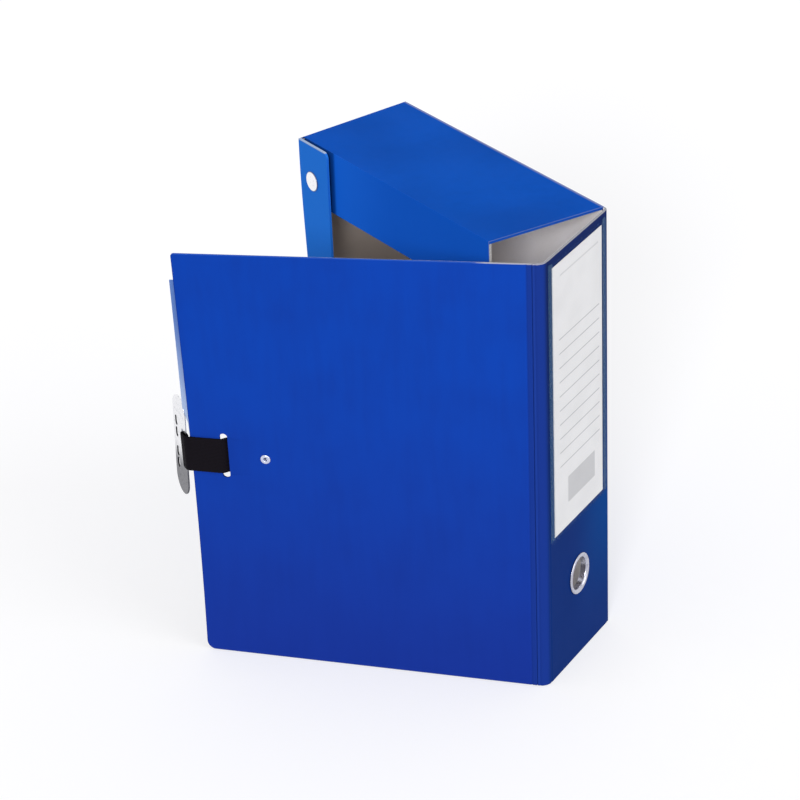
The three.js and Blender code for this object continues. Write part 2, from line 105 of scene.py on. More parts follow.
class Wire:
    """A socket in a material's node tree; arithmetic on it adds Math nodes."""

    def __init__(self, socket):
        self.socket = socket

    def node(self, kind, settings=None, sockets=None, output=0):
        tree = self.socket.id_data
        made = tree.nodes.new(kind)
        for name, value in (settings or {}).items():
            setattr(made, name, value)
        for name, value in (sockets or {}).items():
            if isinstance(value, Wire):
                tree.links.new(value.socket, made.inputs[name])
            else:
                made.inputs[name].default_value = value
        return Wire(made.outputs[output])

    def math(self, operation, *others):
        operands = dict(enumerate((self, *others)))
        return self.node("ShaderNodeMath", {"operation": operation}, operands)

    def __add__(self, other):
        return self.math("ADD", other)

    __radd__ = __add__

    def __sub__(self, other):
        return self.math("SUBTRACT", other)

    def __rsub__(self, other):
        return self.node("ShaderNodeMath", {"operation": "SUBTRACT"}, {0: other, 1: self})

    def __mul__(self, other):
        return self.math("MULTIPLY", other)

    __rmul__ = __mul__

    def __truediv__(self, other):
        return self.math("DIVIDE", other)

    def __abs__(self):
        return self.math("ABSOLUTE")

    def over(self, low, high):
        """Rises smoothly from 0 at low to 1 at high."""
        settings = {"interpolation_type": "SMOOTHSTEP"}
        return self.node("ShaderNodeMapRange", settings, {0: self, 1: low, 2: high})

    def near(self, place, reach, soft):
        """1 within reach of a place, and 0 from soft further on."""
        return 1 - abs(self - place).over(reach, reach + soft)

    def colours(self, first, second):
        """Goes from the first colour to the second as this wire goes from 0 to 1."""
        ends = {0: self}
        for index, colour in ((6, first), (7, second)):
            ends[index] = colour if isinstance(colour, Wire) else (*colour, 1)
        return self.node("ShaderNodeMix", {"data_type": "RGBA"}, ends, output=2)

    def noise(self, size, detail=2, stretch=(1, 1, 1)):
        """Cloudy noise from 0 to 1 on a place in millimetres, with features of that size."""
        scale = [1 / (size * along) for along in stretch]
        place = self.node("ShaderNodeVectorMath", {"operation": "MULTIPLY"}, {0: self, 1: scale})
        return place.node("ShaderNodeTexNoise", {}, {"Vector": place, "Scale": 1, "Detail": detail})

    def parts(self):
        """The x, y and z of a place, each as a wire."""
        first = self.node("ShaderNodeSeparateXYZ", {}, {0: self})
        return [Wire(socket) for socket in first.socket.node.outputs]


class Finish:
    """A material with one shader: plain values are set on its sockets."""

    def __init__(self, name, **plain):
        self.material = bpy.data.materials.new(name)
        self.material.use_nodes = True
        self.tree = self.material.node_tree
        self.shader = self.tree.nodes["Principled BSDF"]
        for socket, value in plain.items():
            self.shader.inputs[socket.replace("_", " ")].default_value = value
        where = Wire(self.tree.nodes.new("ShaderNodeTexCoord").outputs["Object"])
        scaled = {"operation": "SCALE"}
        self.place = where.node("ShaderNodeVectorMath", scaled, {0: where, "Scale": 1000})

    def feed(self, **wires):
        for socket, wire in wires.items():
            self.tree.links.new(wire.socket, self.shader.inputs[socket.replace("_", " ")])

    def relief(self, height, depth, strength=1):
        """A bump whose height, from 0 to 1, stands for a depth in millimetres."""
        sockets = {"Height": height, "Distance": depth * 0.001, "Strength": strength}
        self.feed(Normal=height.node("ShaderNodeBump", {}, sockets))


def in_view(tree):
    """1 for what is seen straight, mirrored or through the film, and 0 for other light."""
    path = tree.nodes.new("ShaderNodeLightPath")
    straight, mirrored, through = (
        Wire(path.outputs[f"Is {kind} Ray"]) for kind in ("Camera", "Glossy", "Transmission")
    )
    return straight.math("MAXIMUM", mirrored).math("MAXIMUM", through)


# The floor is a wide pale sheet that keeps a faint shadow, and all behind it is white.
floor_reach = 6
floor_drop = 0.0004
floor_grey = (0.53, 0.53, 0.55, 1)
floor_glow = (0.525, 0.525, 0.52)

backdrop = bpy.data.worlds.new("backdrop")
backdrop.use_nodes = True
scene.world = backdrop
sky = backdrop.node_tree.nodes["Background"]
ambient = 0.62
lift = in_view(backdrop.node_tree) * (1 - ambient) + ambient
backdrop.node_tree.links.new(lift.socket, sky.inputs["Strength"])
sky.inputs["Color"].default_value = (1, 1, 1, 1)

floor_finish = Finish(
    "pale_floor", Base_Color=floor_grey, Roughness=0.9, Specular_IOR_Level=0, Emission_Strength=1
)
floor_finish.feed(Emission_Color=in_view(floor_finish.tree).colours((0, 0, 0), floor_glow))

floor_mesh = bpy.data.meshes.new("floor")
floor_corners = [
    (x * floor_reach, y * floor_reach, -floor_drop)
    for x, y in ((-1, -1), (1, -1), (1, 1), (-1, 1))
]
floor_mesh.from_pydata(floor_corners, [], [(0, 1, 2, 3)])
floor_mesh.materials.append(floor_finish.material)
floor = bpy.data.objects.new("floor", floor_mesh)
scene.collection.objects.link(floor)


# Tray. One sheet of 2 mm greyboard with blue paper outside and a grey lining inside, cut,
# creased and folded into the back panel, two end walls, the fore-edge wall, two flaps and the
# strip over them. The cuts show the pale board.
box_height = 350
board = 2
tray_depth = 103.5
strip_outer = 108.3
strip_edge_x = -211.5
tray_end = -1.3
tray_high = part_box("back_tray")[1]
tray_x = tray_high.x * 1000 - tray_end
tray_y = tray_high.y * 1000


def fibres(finish, size=0.35, depth=0.02):
    """The fine tooth of paper, with a slow unevenness of the sheet under it."""
    tooth = finish.place.noise(size, 3)
    sheet = finish.place.noise(9, 2)
    finish.relief(tooth * 0.5 + sheet * 0.5, depth * 4, 0.35)
    return tooth


def covering(name, light, dark, blend_by, specular=0.01):
    """Blue covering paper: light and dark are its colours where blend_by is 0 and 1."""
    finish = Finish(name, Specular_IOR_Level=specular)
    tooth = fibres(finish)
    cloud = finish.place.noise(45, 4)
    brushed = finish.place.noise(7, 3, (1, 1, 9))
    shade = blend_by(finish).colours(light, dark)
    deep = [0.78 * part for part in dark]
    shade = ((cloud * 0.6 + brushed * 0.4).over(0.3, 0.85) * 0.35).colours(shade, deep)
    finish.feed(Roughness=tooth * 0.12 + cloud * 0.14 + 0.38)
    return finish, shade


def cut_board(name, pale, deep, turned_over, paper):
    """The cut edge of greyboard: short fibres, and the covering paper where it is turned over."""
    finish = Finish(name, Roughness=0.85, Specular_IOR_Level=0.2)
    grain = finish.place.noise(0.5, 4)
    shade = grain.over(0.3, 0.75).colours(pale, deep)
    finish.feed(Base_Color=turned_over(finish.place).colours(shade, paper))
    finish.relief(grain, 0.12, 0.6)
    return finish


tray_light = (0.002, 0.088, 0.52)
tray_dark = (0.002, 0.07, 0.42)
flap_light = (0.005, 0.1, 0.59)
flap_bright = (0.009, 0.135, 0.72)
strip_light = (0.018, 0.175, 0.7)
strip_rim = (0.42, 0.52, 0.7)
strip_shadow = (0.001, 0.015, 0.1)
flap_bright_x, flap_plain_x = -215, -120
cut_pale = (0.5, 0.5, 0.51)
cut_deep = (0.3, 0.29, 0.28)

tray_cover, tray_shade = covering(
    "tray_covering", tray_light, tray_dark, lambda finish: finish.place.noise(120, 1).over(0.4, 0.7)
)
tray_px, tray_py, tray_pz = tray_cover.place.parts()
tray_px, tray_py = tray_px - tray_x, tray_py - tray_y
on_top = tray_pz.over(box_height - 0.9, box_height - 0.3)
on_strip = 1 - tray_py.over(-strip_outer + board + 0.2, -strip_outer + board + 0.5)
on_flap = 1 - tray_py.over(-tray_depth - 0.4, -tray_depth + 0.9)
flap_shade = tray_px.over(flap_bright_x, flap_plain_x).colours(flap_bright, flap_light)
tray_shade = on_flap.colours(tray_shade, flap_shade)
# Painted shadow of the strip on the flap, along the strip's edge.
strip_shadow_mask = on_flap * (1 - tray_px.over(strip_edge_x + 1, strip_edge_x + 5)) * 0.85
tray_shade = strip_shadow_mask.colours(tray_shade, strip_shadow)
tray_shade = on_strip.colours(tray_shade, strip_light)
frayed = tray_cover.place.noise(2.2, 3)
back_cut = (tray_py + frayed * 0.8).over(-1.9, -1.2) * on_top
strip_cut = on_strip * on_top
end_cut = (tray_px + frayed * 0.6).over(tray_end - 0.5, tray_end) * 0.45
bare = (back_cut * 0.4).math("MAXIMUM", strip_cut).math("MAXIMUM", end_cut) * 0.9
bare_paper = strip_cut.colours(cut_pale, strip_rim)
tray_cover.feed(Base_Color=bare.colours(tray_shade, bare_paper))

top_wall = box_height - board
tray_cut = cut_board(
    "tray_cut_edge", cut_pale, cut_deep,
    lambda place: place.parts()[2].over(top_wall - 0.3, top_wall + 0.1), tray_dark,
)

lining_pale = (0.93, 0.9, 0.91)
lining_deep = (0.86, 0.83, 0.82)
lining_shaded = (0.42, 0.365, 0.32)


def lining(name, shaded_where=None):
    """Grey lining paper, pasted on and left plain, with painted shade where that is given."""
    finish = Finish(name, Roughness=0.78, Specular_IOR_Level=0.2)
    tooth = fibres(finish, 0.5, 0.03)
    cloud = finish.place.noise(38, 3)
    flecks = finish.place.noise(1.4, 1).over(0.66, 0.8) * 0.35
    shade = (cloud * 0.7 + tooth * 0.3).over(0.35, 0.75).colours(lining_pale, lining_deep)
    shade = flecks.colours(shade, [0.6 * part for part in lining_deep])
    if shaded_where:
        shade = shaded_where(finish.place).colours(shade, lining_shaded)
    finish.feed(Base_Color=shade)
    return finish


# Painted shade: the tray's lining turns darker and browner towards the fore-edge, where the top
# wall and the flap shade it.
shaded_x, pale_x = -190, -90


def shaded_by_fore_edge(place):
    return 1 - (place.parts()[0] - tray_x).over(shaded_x, pale_x)


tray_lining = lining("tray_lining", shaded_by_fore_edge)


def from_frame(name, node):
    """A new mesh on a CAD node's own shape, welded, with its flat faces whole again."""
    mesh = frame["nodes"][node].data.copy()
    mesh.name = name
    mesh.materials.clear()
    edit = bmesh.new()
    edit.from_mesh(mesh)
    bmesh.ops.remove_doubles(edit, verts=edit.verts, dist=2e-6)
    flat = math.radians(0.25)
    bmesh.ops.dissolve_limit(edit, angle_limit=flat, verts=edit.verts, edges=edit.edges)
    for face in edit.faces:
        face.smooth = True
    edit.to_mesh(mesh)
    edit.free()
    return mesh


def piece(name, mesh, finishes, body, slot, *nodes):
    """Puts a finished mesh on a body, in place of the CAD nodes it stands for."""
    for finish in finishes:
        mesh.materials.append(finish.material)
    made = bpy.data.objects.new(name, mesh)
    scene.collection.objects.link(made)
    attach(made, body)
    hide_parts(*nodes)
    return made


def eased(made, width, segments=2, angle=35):
    """Rounds every edge of a piece by a width in millimetres."""
    bevel = made.modifiers.new("rounded_edges", "BEVEL")
    bevel.width = width * 0.001
    bevel.segments = segments
    bevel.limit_method = "ANGLE"
    bevel.angle_limit = math.radians(angle)
    bevel.harden_normals = False
    made.modifiers.new("even_shading", "WEIGHTED_NORMAL").keep_sharp = True


# Each flat face gets its finish by where it lies: covering outside, lining inside, bare cuts
tray_mesh = from_frame("tray", "back_tray")
outside, inside, cut_side = 0, 1, 2
for face in tray_mesh.polygons:
    x = face.center.x * 1000 - tray_x
    y = face.center.y * 1000 - tray_y
    z = face.center.z * 1000
    facing = face.normal
    far_in = min(z, box_height - z)
    if abs(facing.z) > 0.9:
        covered = far_in < 0.5 * board
        cut = board < far_in and y < board - tray_depth + 0.5
    elif facing.y < -0.9:
        covered = y < board - tray_depth - 0.5
        cut = False
    elif facing.y > 0.9:
        covered = y > -0.5 * board
        cut = False
    else:
        on_the_strip = y < -tray_depth - 0.5
        covered = on_the_strip or (facing.x < -0.5 and y > 3 - tray_depth)
        cut = facing.x > 0.5 and x > tray_end - 0.5
        cut = cut or (not covered and y < board - tray_depth + 0.5)
    face.material_index = cut_side if cut else outside if covered else inside
tray_finishes = (tray_cover, tray_lining, tray_cut)
tray = piece("tray", tray_mesh, tray_finishes, "tray", "tray_board", "back_tray")
eased(tray, 0.6, segments=3)


# Press studs. Pressed and nickel-plated steel, two on the fore-edge strip: a domed cap and a
# socket through the strip, and a ball and an eyelet through the flap under it.
def softened(points, radius, steps=4):
    """A closed outline with every corner rounded by about that radius."""
    result = []
    count = len(points)
    for i, corner in enumerate(points):
        here = Vector(corner)
        before = Vector(points[i - 1])
        after = Vector(points[(i + 1) % count])
        if abs(here.x) < 1e-6:
            result.append(here)
            continue
        reach = min(radius, (before - here).length * 0.45, (after - here).length * 0.45)
        start = here + (before - here).normalized() * reach
        end = here + (after - here).normalized() * reach
        for k in range(steps + 1):
            t = k / steps
            result.append(start * (1 - t) ** 2 + here * 2 * t * (1 - t) + end * t ** 2)
    return result


def turned(name, profile, place, rounding=0.25, steps=72):
    """A turned piece: profile points are (radius, height), and place(a, b, height) puts them."""
    edit = bmesh.new()
    outline = softened(profile, rounding)
    rings = []
    for k in range(steps):
        angle = 2 * math.pi * k / steps
        ring = [
            edit.verts.new(Vector(place(p.x * math.cos(angle), p.x * math.sin(angle), p.y)) * 0.001)
            for p in outline
        ]
        rings.append(ring)
    for k in range(steps):
        this, following = rings[k], rings[(k + 1) % steps]
        for i in range(len(outline)):
            j = (i + 1) % len(outline)
            on_axis = abs(outline[i].x) < 1e-6 and abs(outline[j].x) < 1e-6
            if not on_axis:
                edit.faces.new((this[i], this[j], following[j], following[i]))
    bmesh.ops.remove_doubles(edit, verts=edit.verts, dist=1e-7)
    bmesh.ops.recalc_face_normals(edit, faces=edit.faces)
    for face in edit.faces:
        face.smooth = True
    mesh = bpy.data.meshes.new(name)
    edit.to_mesh(mesh)
    edit.free()
    return mesh


def plated(name, pale, wear_and_shade, roughness, dark=(0.2, 0.2, 0.22), dark_reflection_where=None):
    """Nickel plate: fine polishing marks, dull spots, and a painted dark reflection where one is
    given.
    """
    finish = Finish(name, Metallic=1)
    marks = finish.place.noise(0.6, 3, (1, 1, 0.2))
    spots = finish.place.noise(3, 3).over(0.5, 0.75)
    shade = (spots * 0.6 + marks * 0.4).over(0.2, 0.9).colours(pale, wear_and_shade)
    if dark_reflection_where:
        shade = dark_reflection_where(finish.place).colours(shade, dark)
    finish.feed(Base_Color=shade, Roughness=spots * 0.12 + marks * 0.08 + roughness)
    finish.relief(marks, 0.01, 0.25)
    return finish


bright_nickel = plated("bright_nickel", (0.86, 0.86, 0.87), (0.66, 0.66, 0.68), 0.14)

cap_radius = 8
cap_rise = 1.3
shank = 2.2
stud_gap = strip_outer - board - tray_depth
cap_profile = (
    (0, -board - stud_gap + 2.0),
    (shank, -board - stud_gap + 2.0),
    (shank, 0.3),
    (cap_radius - 0.7, 0.3),
    (cap_radius, 0.42),
    (cap_radius - 0.05, 0.75),
    (cap_radius * 0.86, 1.18),
    (cap_radius * 0.6, 1.42),
    (cap_radius * 0.3, 1.56),
    (0, 0.3 + cap_rise),
)
socket_profile = (
    (2.5, -3.9), (5.1, -3.9), (5.5, -3.5), (5.5, -2.3), (2.5, -2.3),
)
ball_profile = (
    (1.65, 0.3), (5.5, 0.3), (5.5, 0.6), (5.2, 0.75), (2.0, 0.75), (2.0, 1.4),
    (1.7, 1.7), (1.65, 1.7),
)
eyelet_profile = (
    (0, -3.0), (4.3, -3.0), (4.6, -2.65), (4.6, -2.3), (1.5, -2.3), (1.5, 0.9), (0, 0.9),
)
for end in ("top", "bottom"):
    low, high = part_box(f"{end}_stud_cap")
    middle = (low + high) * 500
    strip_face = tray_y - strip_outer
    flap_face = tray_y - tray_depth

    # Painted dark reflection round the rim of each cap.
    def dark_reflection_at_rim(place):
        x, y, z = place.parts()
        x, z = x - middle.x, z - middle.z
        return (x * x + z * z).math("SQRT").over(cap_radius - 0.9, cap_radius - 0.2)

    cap_nickel = plated(
        f"{end}_cap_nickel", (0.9, 0.91, 0.93), (0.74, 0.75, 0.78), 0.16, (0.2, 0.24, 0.34), dark_reflection_at_rim
    )
    for part, profile, face_y in (
        ("stud_cap", cap_profile, strip_face),
        ("stud_socket", socket_profile, strip_face),
        ("stud_ball", ball_profile, flap_face),
        ("stud_eyelet", eyelet_profile, flap_face),
    ):
        mesh = turned(
            f"{end}_{part}", profile, lambda a, b, out: (middle.x + a, face_y - out, middle.z + b)
        )
        finish = cap_nickel if part == "stud_cap" else bright_nickel
        piece(f"{end}_{part}_plated", mesh, (finish,), "tray", "nickel", f"{end}_{part}")


# Spine. The same covered board, bent through a small round fold at the tray and a larger,
# doubly creased one at the cover, with a hole punched for the finger ring.
far_fold_radius = 4
near_fold_radius = 8
far_turn = 61.6
near_turn = 77.2
spine_flat = 99.68
half_board = board / 2
far_crease = places["spine_fold"]
near_crease = places["cover_fold"]
far_arc = far_fold_radius * math.radians(far_turn)
near_arc = near_fold_radius * math.radians(near_turn)
spine_length = far_arc + spine_flat + near_arc
crease_depth = 0.4
crease_width = 1.3


def along_arc(start, heading, radius, turn):
    """The end of an arc that turns right from a start and a heading, in degrees."""
    first = math.radians(heading)
    last = math.radians(heading - turn)
    across = radius * (math.sin(first) - math.sin(last))
    rise = radius * (math.cos(last) - math.cos(first))
    return Vector((start.x + across, start.y + rise))


def spine_at(run):
    """The place and heading of the spine's middle line at a run from the far crease."""
    start = far_crease.to_2d()
    if run < far_arc:
        turn = math.degrees(run / far_fold_radius)
        return along_arc(start, 0, far_fold_radius, turn), -turn
    start = along_arc(start, 0, far_fold_radius, far_turn)
    flat = min(run - far_arc, spine_flat)
    heading = math.radians(-far_turn)
    start = start + flat * Vector((math.cos(heading), math.sin(heading)))
    turn = math.degrees(max(0, run - far_arc - spine_flat) / near_fold_radius)
    return along_arc(start, -far_turn, near_fold_radius, turn), -far_turn - turn


spine_runs = [far_arc * k / 10 for k in range(10)]
spine_runs += [far_arc + 0.35 * k for k in range(8)]
spine_runs += [far_arc + 2.8 + (spine_flat - 5.6) * k / 12 for k in range(12)]
spine_runs += [far_arc + spine_flat - 2.8 + 0.35 * k for k in range(8)]
spine_runs += [far_arc + spine_flat + near_arc * k / 24 for k in range(25)]


def pressed_in(run):
    """How deep the crease lines are pressed into the outside of the spine at a run."""
    creases = (far_arc + 0.3, far_arc + spine_flat + 0.2, spine_length - 1.1)
    return sum(
        crease_depth * math.exp(-((run - at) / crease_width * 2) ** 2) for at in creases
    )


def edge_levels(low, high, rounding, pitch, extra=()):
    """Heights from low to high, and how much the section shrinks at each to round its ends."""
    rows = []
    steps = 4
    for k in range(steps):
        angle = math.pi / 2 * k / steps
        rows.append((low + rounding * (1 - math.cos(angle)), rounding * (1 - math.sin(angle))))
    inner_low, inner_high = low + rounding, high - rounding
    count = max(1, math.ceil((inner_high - inner_low) / pitch))
    spans = {inner_low + (inner_high - inner_low) * k / count for k in range(count + 1)}
    spans.update(z for z in extra if inner_low < z < inner_high)
    rows += [(z, 0) for z in sorted(spans)]
    for k in range(1, steps + 1):
        angle = math.pi / 2 * k / steps
        rows.append((high - rounding * (1 - math.sin(angle)), rounding * (1 - math.cos(angle))))
    return rows


def lofted(name, loops, sides, ends=0):
    """A closed skin over loops of points; sides gives the finish of each strip round a loop."""
    edit = bmesh.new()
    rows = [[edit.verts.new(Vector(point) * 0.001) for point in loop] for loop in loops]
    count = len(rows[0])
    for below, over in zip(rows, rows[1:]):
        for i in range(count):
            j = (i + 1) % count
            face = edit.faces.new((below[i], below[j], over[j], over[i]))
            face.material_index = sides[i]
    for cap in (rows[0], rows[-1]):
        edit.faces.new(cap).material_index = ends
    bmesh.ops.recalc_face_normals(edit, faces=edit.faces)
    for face in edit.faces:
        face.smooth = True
    mesh = bpy.data.meshes.new(name)
    edit.to_mesh(mesh)
    edit.free()
    return mesh


nose_steps = 8


def spine_loop(z, shrink):
    outer, inner = [], []
    half = half_board - shrink
    for run in spine_runs:
        at, heading = spine_at(run)
        out = Vector((-math.sin(math.radians(heading)), math.cos(math.radians(heading))))
        outer.append(at + out * (half - pressed_in(run)))
        inner.append(at - out * half)
    noses = []
    for at, heading, first in ((near_crease, -far_turn - near_turn, 90), (far_crease, 0, -90)):
        noses.append([
            at.to_2d() + half * Vector((
                math.cos(math.radians(heading + first - 180 * k / nose_steps)),
                math.sin(math.radians(heading + first - 180 * k / nose_steps)),
            ))
            for k in range(1, nose_steps)
        ])
    loop = outer + noses[0] + inner[::-1] + noses[1]
    return [(point.x, point.y, z) for point in loop]


spine_levels = edge_levels(0, box_height, 0.35, 14)
spine_sides = [0] * (len(spine_runs) - 1) + [0] * nose_steps
spine_sides += [1] * (len(spine_runs) - 1) + [0] * nose_steps
spine_mesh = lofted("spine", [spine_loop(z, shrink) for z, shrink in spine_levels], spine_sides)

# The spine's covering is the cover's blue paper painted darker, as painted shade, and darker
# towards the top.
spine_high = (0.009, 0.022, 0.115)
spine_low = (0.006, 0.032, 0.19)
fold_blue = (0.011, 0.039, 0.27)
sheen_blue = (0.001, 0.058, 0.27)
groove_blue = (0.013, 0.047, 0.31)
spine_low_z, spine_high_z = 60, 330
spine_cover, spine_shade = covering(
    "spine_covering", spine_high, spine_low,
    lambda finish: 1 - finish.place.parts()[2].over(spine_low_z, spine_high_z),
)


def from_upright(place, line):
    """The distance of a place from an upright line."""
    x, y, z = place.parts()
    x, y = x - line.x, y - line.y
    return (x * x + y * y).math("SQRT")


from_near_crease = from_upright(spine_cover.place, near_crease)
# Painted shade: the rounded fold is painted in a blue between the spine's and the cover's.
in_fold = 1 - from_near_crease.over(6.5, 10.5)
spine_shade = in_fold.colours(spine_shade, fold_blue)
spine_angle = math.radians(-far_turn)
spine_x, spine_y, spine_z = spine_cover.place.parts()
spine_x, spine_y = spine_x - far_crease.x, spine_y - far_crease.y
from_far_fold = spine_x * math.cos(spine_angle) + spine_y * math.sin(spine_angle)
# Painted sheen: the spine is lighter near the far fold, from its foot up to the label.
sheen = (1 - from_far_fold.over(5, 70)) * spine_z.over(0, 110) * (1 - spine_z.over(116, 120)) * 0.8
spine_shade = sheen.colours(spine_shade, sheen_blue)
# Painted light in the groove by the near crease, lifting its shade.
in_groove = 1 - from_near_crease.over(1.0, 1.2)
spine_shade = in_groove.colours(spine_shade, groove_blue)
spine_fray = spine_cover.place.noise(2.2, 3)
spine_rim = (spine_z + spine_fray * 0.5).over(box_height - 0.5, box_height - 0.1) * 0.7
spine_cover.feed(Base_Color=spine_rim.colours(spine_shade, cut_pale))
spine_lining = lining("spine_lining")
spine_finishes = (spine_cover, spine_lining)
spine = piece("spine", spine_mesh, spine_finishes, "spine", "cover_board", "spine_panel")

spine_origin = along_arc(far_crease.to_2d(), 0, far_fold_radius, far_turn)


def on_spine(along, out, z):
    """A place on the spine: along from the far fold, out from the middle of the board."""
    return (
        spine_origin.x + along * math.cos(spine_angle) - out * math.sin(spine_angle),
        spine_origin.y + along * math.sin(spine_angle) + out * math.cos(spine_angle),
        z,
    )


def punched(made, cutter_meshes):
    """Cuts holes through a piece with closed meshes."""
    for mesh in cutter_meshes:
        cutter = bpy.data.objects.new(mesh.name, mesh)
        scene.collection.objects.link(cutter)
        hole = made.modifiers.new(mesh.name, "BOOLEAN")
        hole.operation = "DIFFERENCE"
        hole.solver = "EXACT"
        hole.object = cutter
    shapes = bpy.context.evaluated_depsgraph_get()
    cut_mesh = bpy.data.meshes.new_from_object(made.evaluated_get(shapes))
    made.modifiers.clear()
    whole = made.data
    made.data = cut_mesh
    made.modifiers.new("even_shading", "WEIGHTED_NORMAL").keep_sharp = True
    bpy.data.meshes.remove(whole)
    for mesh in cutter_meshes:
        bpy.data.objects.remove(bpy.data.objects[mesh.name])


# Finger ring. A nickel-plated eyelet 33 mm across, turned over at its rim; its barrel passes
# the board and is rolled down on a washer inside.
ring_along = 51.2
ring_z = 70
ring_bore = 12.5
ring_barrel = 1.2
ring_hole = ring_bore + ring_barrel + 0.3
punched(spine, [turned(
    "ring_hole", ((0, -5), (ring_hole, -5), (ring_hole, 5), (0, 5)),
    lambda a, b, out: on_spine(ring_along + a, out, ring_z + b), rounding=0.001, steps=64,
)])
ring_profile = (
    (12.5, -3.4), (15.3, -3.4), (15.3, -2.8), (13.7, -2.8), (13.7, 1.3), (16.0, 1.3), (16.3, 1.5),
    (16.3, 1.85), (15.9, 2.25), (15.2, 2.5), (14.3, 2.55), (13.5, 2.2), (12.9, 1.6), (12.5, 0.9),
)
ring_mesh = turned(
    "finger_ring", ring_profile,
    lambda a, b, out: on_spine(ring_along + a, out, ring_z + b), rounding=0.45, steps=96,
)
ring_nickel = plated("ring_nickel", (0.52, 0.52, 0.6), (0.36, 0.36, 0.43), 0.2)
piece("finger_ring_plated", ring_mesh, (ring_nickel,), "spine", "nickel", "finger_ring")
washer_profile = ((14.0, -2.2), (15.5, -2.2), (15.7, -1.95), (15.7, -1.3), (14.0, -1.3))
washer_mesh = turned(
    "finger_ring_washer", washer_profile,
    lambda a, b, out: on_spine(ring_along + a, out, ring_z + b), rounding=0.2, steps=96,
)
piece(
    "finger_ring_washer_plated", washer_mesh, (bright_nickel,), "spine", "nickel",
    "finger_ring_washer",
)


# Label. A white card with thin grey rules and a plain grey block, which slides into a clear
# film pocket; the film is welded to the spine along its two sides and its foot.
first_rule = 176
rule_pitch = 11.6
rule_count = 10
rule_width = 0.45
rule_left, rule_right = 14.5, 82.5
head_rule_z, head_rule_middle, head_rule_reach = 331, 48, 32
block_z, block_rise = 151.5, 10.5
block_middle, block_reach = 46.5, 23
paper_white, paper_grey = (0.93, 0.92, 0.92), (0.88, 0.87, 0.87)
ink = (0.16, 0.16, 0.18)
rule_ink, head_ink, block_ink = 0.5, 0.22, 0.34


def along_spine(place):
    """How far a place lies along the spine from the far fold, and how high."""
    x, y, z = place.parts()
    x, y = x - spine_origin.x, y - spine_origin.y
    return x * math.cos(spine_angle) + y * math.sin(spine_angle), z


card = Finish("label_paper", Roughness=0.6, Specular_IOR_Level=0.3)
card_u, card_z = along_spine(card.place)
rules_middle = first_rule + rule_pitch * (rule_count - 1) / 2
row = ((card_z - first_rule) / rule_pitch + 0.5).math("FRACT")
rules = row.near(0.5, rule_width / rule_pitch / 2, 0.03)
rules = rules * card_z.near(rules_middle, rule_pitch * rule_count / 2, 0.5)
rules = rules * card_u.near((rule_left + rule_right) / 2, (rule_right - rule_left) / 2, 0.5)
head_rule = card_z.near(head_rule_z, 0.5, 0.5) * card_u.near(head_rule_middle, head_rule_reach, 1)
block = card_z.near(block_z, block_rise, 0.6) * card_u.near(block_middle, block_reach, 0.6)
paper = card.place.noise(25, 2).over(0.3, 0.8).colours(paper_white, paper_grey)
inked = (rules * rule_ink).math("MAXIMUM", head_rule * head_ink).math("MAXIMUM", block * block_ink)
card.feed(Base_Color=inked.colours(paper, ink))
card.relief(card.place.noise(0.5, 3), 0.02, 0.4)
card_mesh = from_frame("label_card", "label_card")
label = piece("label_card_ruled", card_mesh, (card,), "spine", "label_card", "label_card")
eased(label, 0.1)

card_reach = 42.2
card_foot = 121.5
film = Finish("clear_film", Base_Color=(0.08, 0.2, 0.38, 1), Specular_IOR_Level=0.15)
film_u, film_z = along_spine(film.place)
over_card = film_u.near(ring_along, card_reach, 0.6) * film_z.over(card_foot - 1, card_foot)
ripple = film.place.noise(30, 2, (1, 1, 2))
haze = (1 - over_card) * film_z.over(card_foot - 2, card_foot + 0.5)
film.feed(Alpha=haze * (ripple * 0.1 + 0.14) + 0.02, Roughness=ripple * 0.1 + 0.12)
film.relief(ripple, 0.3, 0.5)
film_mesh = from_frame("label_pocket", "label_pocket")
pocket = piece("label_pocket_film", film_mesh, (film,), "spine", "clear_film", "label_pocket")
eased(pocket, 0.12)


# Front cover. A flat board 263 mm wide covered with the same blue paper, turned over its
# edges, with its foot corner rounded; it has taken a slight twist from standing open.
cover_width = 263
cover_start = 1.05
cover_twist = 7.2
twist_power = 1.94
top_corner = 2.5
foot_corner = 7
cover_angle = math.radians(-far_turn - near_turn)
cover_rounding = 0.5
middle_z = box_height / 2
slot_along = 237
slot_width, slot_height = 6, 39
rivet_along = 205.5
rivet_hole = 5
nearly_round = 0.0001
crease_step = 0.35
crease_reach = 0.65


def on_cover(along, out, z):
    """A place on the twisted cover: along from the near crease, out from the board's middle."""
    turn = cover_angle + math.radians(cover_twist) * max(0, z / box_height) ** twist_power
    return (
        near_crease.x + along * math.cos(turn) - out * math.sin(turn),
        near_crease.y + along * math.sin(turn) + out * math.cos(turn),
        z,
    )


def corner_inset(from_end, radius):
    into = max(0, radius - from_end)
    return radius - math.sqrt(max(0, radius ** 2 - into ** 2))


